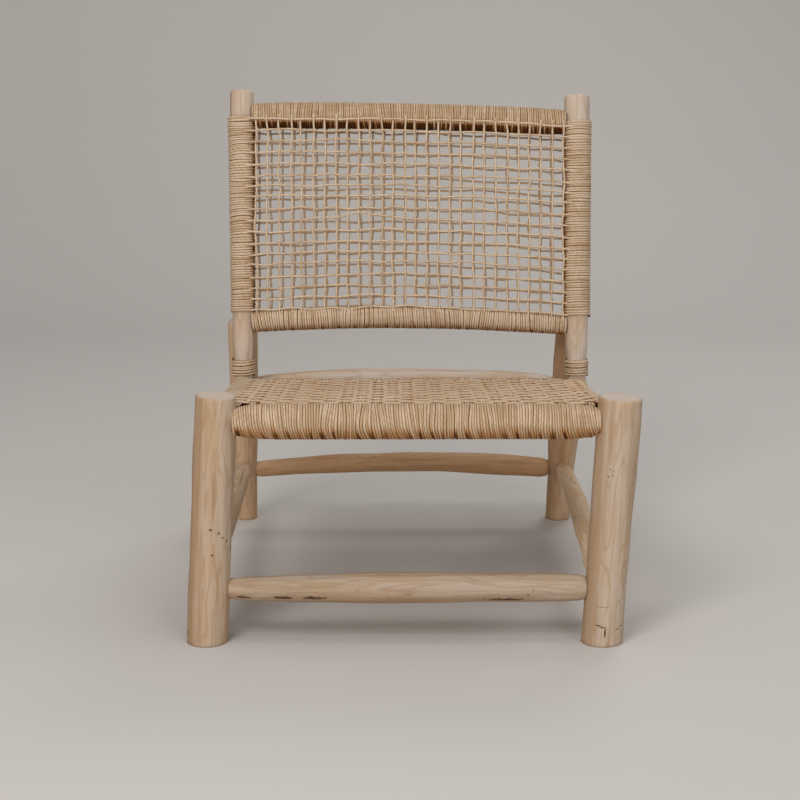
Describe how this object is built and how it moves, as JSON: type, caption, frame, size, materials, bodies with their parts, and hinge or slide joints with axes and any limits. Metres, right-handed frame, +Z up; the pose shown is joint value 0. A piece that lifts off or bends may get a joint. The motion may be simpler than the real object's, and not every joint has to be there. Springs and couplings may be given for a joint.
{
  "type": "lounge chair",
  "caption": "Low lounge chair with a peeled branch frame, a dense cord-woven seat and an open netted cord back.",
  "frame": {"origin": "on the floor in the middle of the chair's footprint box", "axes": "+Z up, the chair faces -Y, +X is the right of a viewer who stands in front of it"},
  "size_m": [0.6807, 0.7431, 0.7909],
  "materials": {
    "branch_wood": "peeled and sanded branch, raw and matte",
    "twisted_cord": "twisted straw-coloured cord, matte",
    "screw_steel": "zinc-plated steel"
  },
  "bodies": {
    "root": {"front_leg_left": "branch_wood", "front_leg_right": "branch_wood", "rear_leg_left": "branch_wood", "rear_leg_right": "branch_wood", "back_post_left": "branch_wood", "back_post_right": "branch_wood", "front_seat_rail": "branch_wood", "rear_seat_rail": "branch_wood", "side_seat_rail_left": "branch_wood", "side_seat_rail_right": "branch_wood", "rear_leg_rail": "branch_wood", "front_stretcher": "branch_wood", "rear_stretcher": "branch_wood", "side_stretcher_left": "branch_wood", "side_stretcher_right": "branch_wood", "top_back_rail": "branch_wood", "lower_back_rail": "branch_wood", "front_rail_wrap": "twisted_cord", "rear_rail_wrap": "twisted_cord", "side_rail_wrap_left": "twisted_cord", "side_rail_wrap_right": "twisted_cord", "top_rail_wrap": "twisted_cord", "lower_rail_wrap": "twisted_cord", "post_wrap_left": "twisted_cord", "post_wrap_right": "twisted_cord", "seat_weave": "twisted_cord", "seat_under_weave": "twisted_cord", "back_net_front": "twisted_cord", "back_net_rear": "twisted_cord", "post_lashing_left": "twisted_cord", "post_lashing_right": "twisted_cord", "leg_screw_left": "screw_steel", "leg_screw_right": "screw_steel"}
  },
  "joints": []
}
